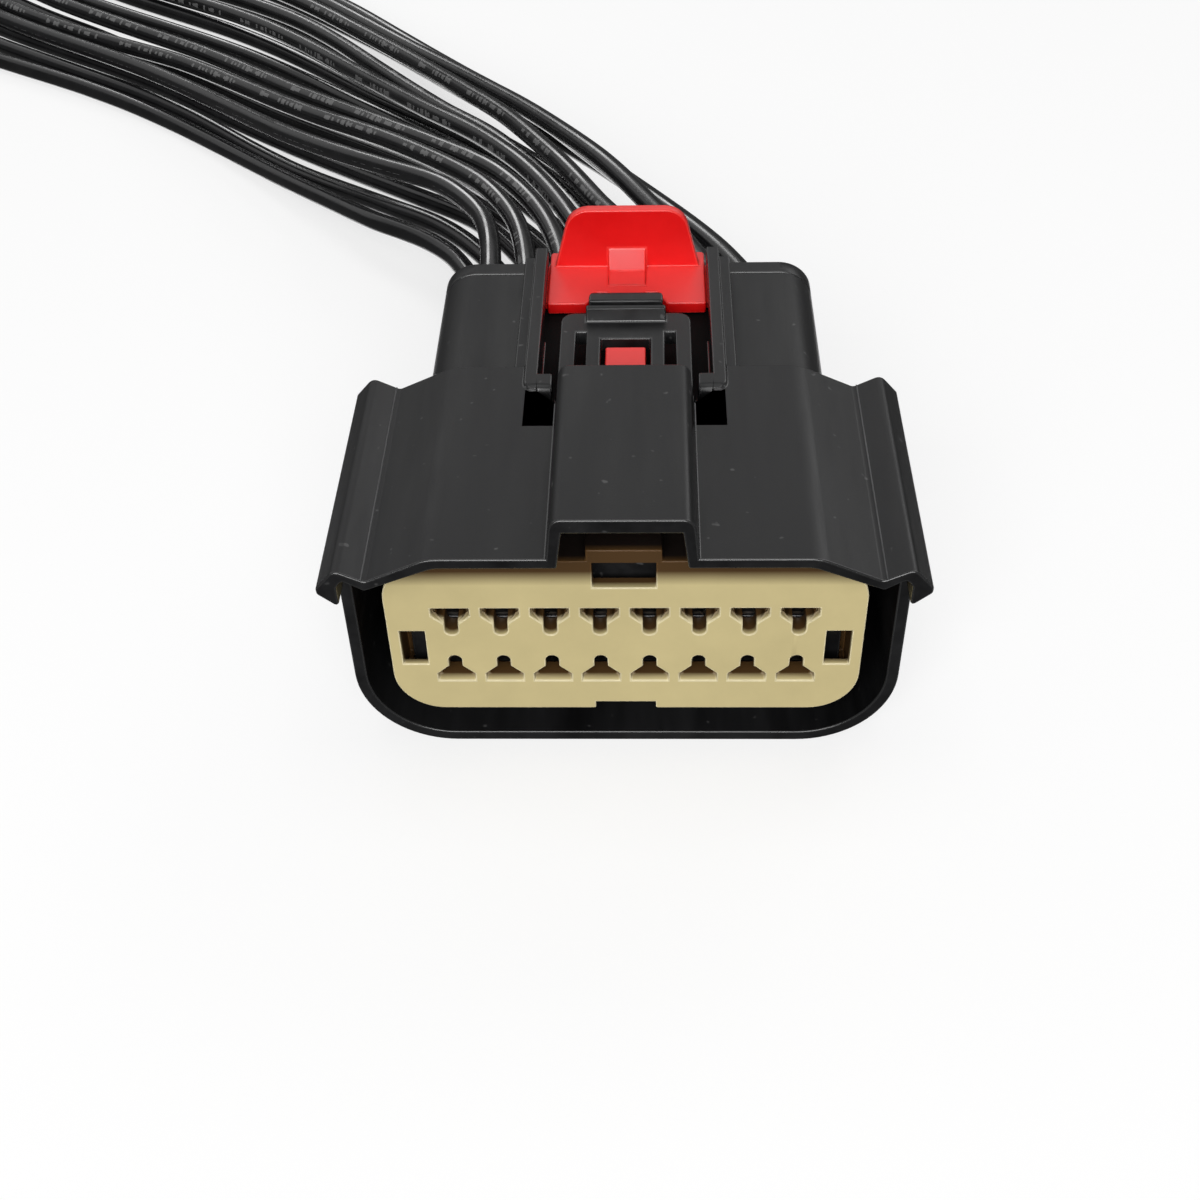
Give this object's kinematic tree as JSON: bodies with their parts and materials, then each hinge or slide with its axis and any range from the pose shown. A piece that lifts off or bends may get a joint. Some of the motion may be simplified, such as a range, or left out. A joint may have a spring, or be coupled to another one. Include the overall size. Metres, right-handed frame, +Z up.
{
  "type": "sealed connector pigtail",
  "caption": "Sealed rectangular wire connector with a hooded shroud, a tan contact retainer, a sliding red lock behind a latch arm and a bundle of loose black leads.",
  "frame": {"origin": "on the table, under the middle of the connector", "axes": "+Z up, the mating mouth faces -Y, the leads leave towards +Y and lie off to -X"},
  "size_m": [0.1329, 0.1636, 0.0262],
  "materials": {
    "black_plastic": "satin",
    "tan_plastic": "satin",
    "red_plastic": "satin",
    "dark_rubber": "matt",
    "grey_rubber": "matt",
    "tinned_metal": "bright",
    "wire_insulation": "satin"
  },
  "bodies": {
    "connector": {"housing": "black_plastic", "front_retainer": "tan_plastic", "ring_seal": "dark_rubber", "wire_seal": "grey_rubber", "rear_cap": "black_plastic", "terminal_1": "tinned_metal", "terminal_2": "tinned_metal", "terminal_3": "tinned_metal", "terminal_4": "tinned_metal", "terminal_5": "tinned_metal", "terminal_6": "tinned_metal", "terminal_7": "tinned_metal", "terminal_8": "tinned_metal", "terminal_9": "tinned_metal", "terminal_10": "tinned_metal", "terminal_11": "tinned_metal", "terminal_12": "tinned_metal", "terminal_13": "tinned_metal", "terminal_14": "tinned_metal", "terminal_15": "tinned_metal", "terminal_16": "tinned_metal", "wire_1": "wire_insulation", "wire_2": "wire_insulation", "wire_3": "wire_insulation", "wire_4": "wire_insulation", "wire_5": "wire_insulation", "wire_6": "wire_insulation", "wire_7": "wire_insulation", "wire_8": "wire_insulation", "wire_9": "wire_insulation", "wire_10": "wire_insulation", "wire_11": "wire_insulation", "wire_12": "wire_insulation", "wire_13": "wire_insulation", "wire_14": "wire_insulation", "wire_15": "wire_insulation", "wire_16": "wire_insulation"},
    "lock": {"lock_slide": "red_plastic"}
  },
  "joints": [
    {"name": "lock_travel", "type": "slide", "parent": "connector", "child": "lock", "axis": [0, -1, 0], "range_m": [0, 0.0032]}
  ]
}
